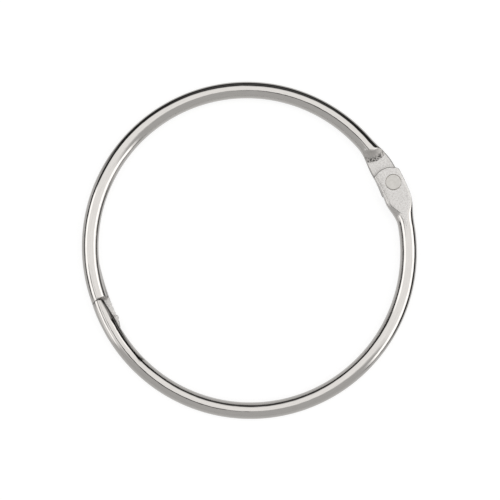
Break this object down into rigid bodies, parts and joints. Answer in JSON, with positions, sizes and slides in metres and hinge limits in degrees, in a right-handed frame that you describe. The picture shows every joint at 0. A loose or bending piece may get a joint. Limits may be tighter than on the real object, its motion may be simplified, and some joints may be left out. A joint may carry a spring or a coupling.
{
  "type": "binder ring",
  "caption": "Hinged loose-leaf ring: half rings of round plated wire, riveted together at one side and hooked together by half-lapped tongues at the other, so that the ring swings open.",
  "frame": {"origin": "middle of the closed ring, in the middle plane of the wire", "axes": "+Z along the ring's axis, towards the side on which the front half lies on top at both laps; +X towards the hinge rivet, with the clasp at -X; +Y towards the rear half"},
  "size_m": [0.0851, 0.0855, 0.0042],
  "materials": {
    "plated_wire": "bright nickel plate on round steel wire, satin and finely pitted where the leaves are pressed flat",
    "rivet_steel": "plated steel, pressed flat, slightly duller and warmer than the wire"
  },
  "bodies": {
    "rear": {"rear_half": "plated_wire"},
    "front": {"front_half": "plated_wire", "hinge_rivet": "rivet_steel"}
  },
  "joints": [
    {"name": "hinge", "type": "hinge", "parent": "rear", "child": "front", "pos_m": [0.04015, 0, 0], "axis": [0, 0, 1], "range_deg": [0, 140]}
  ]
}
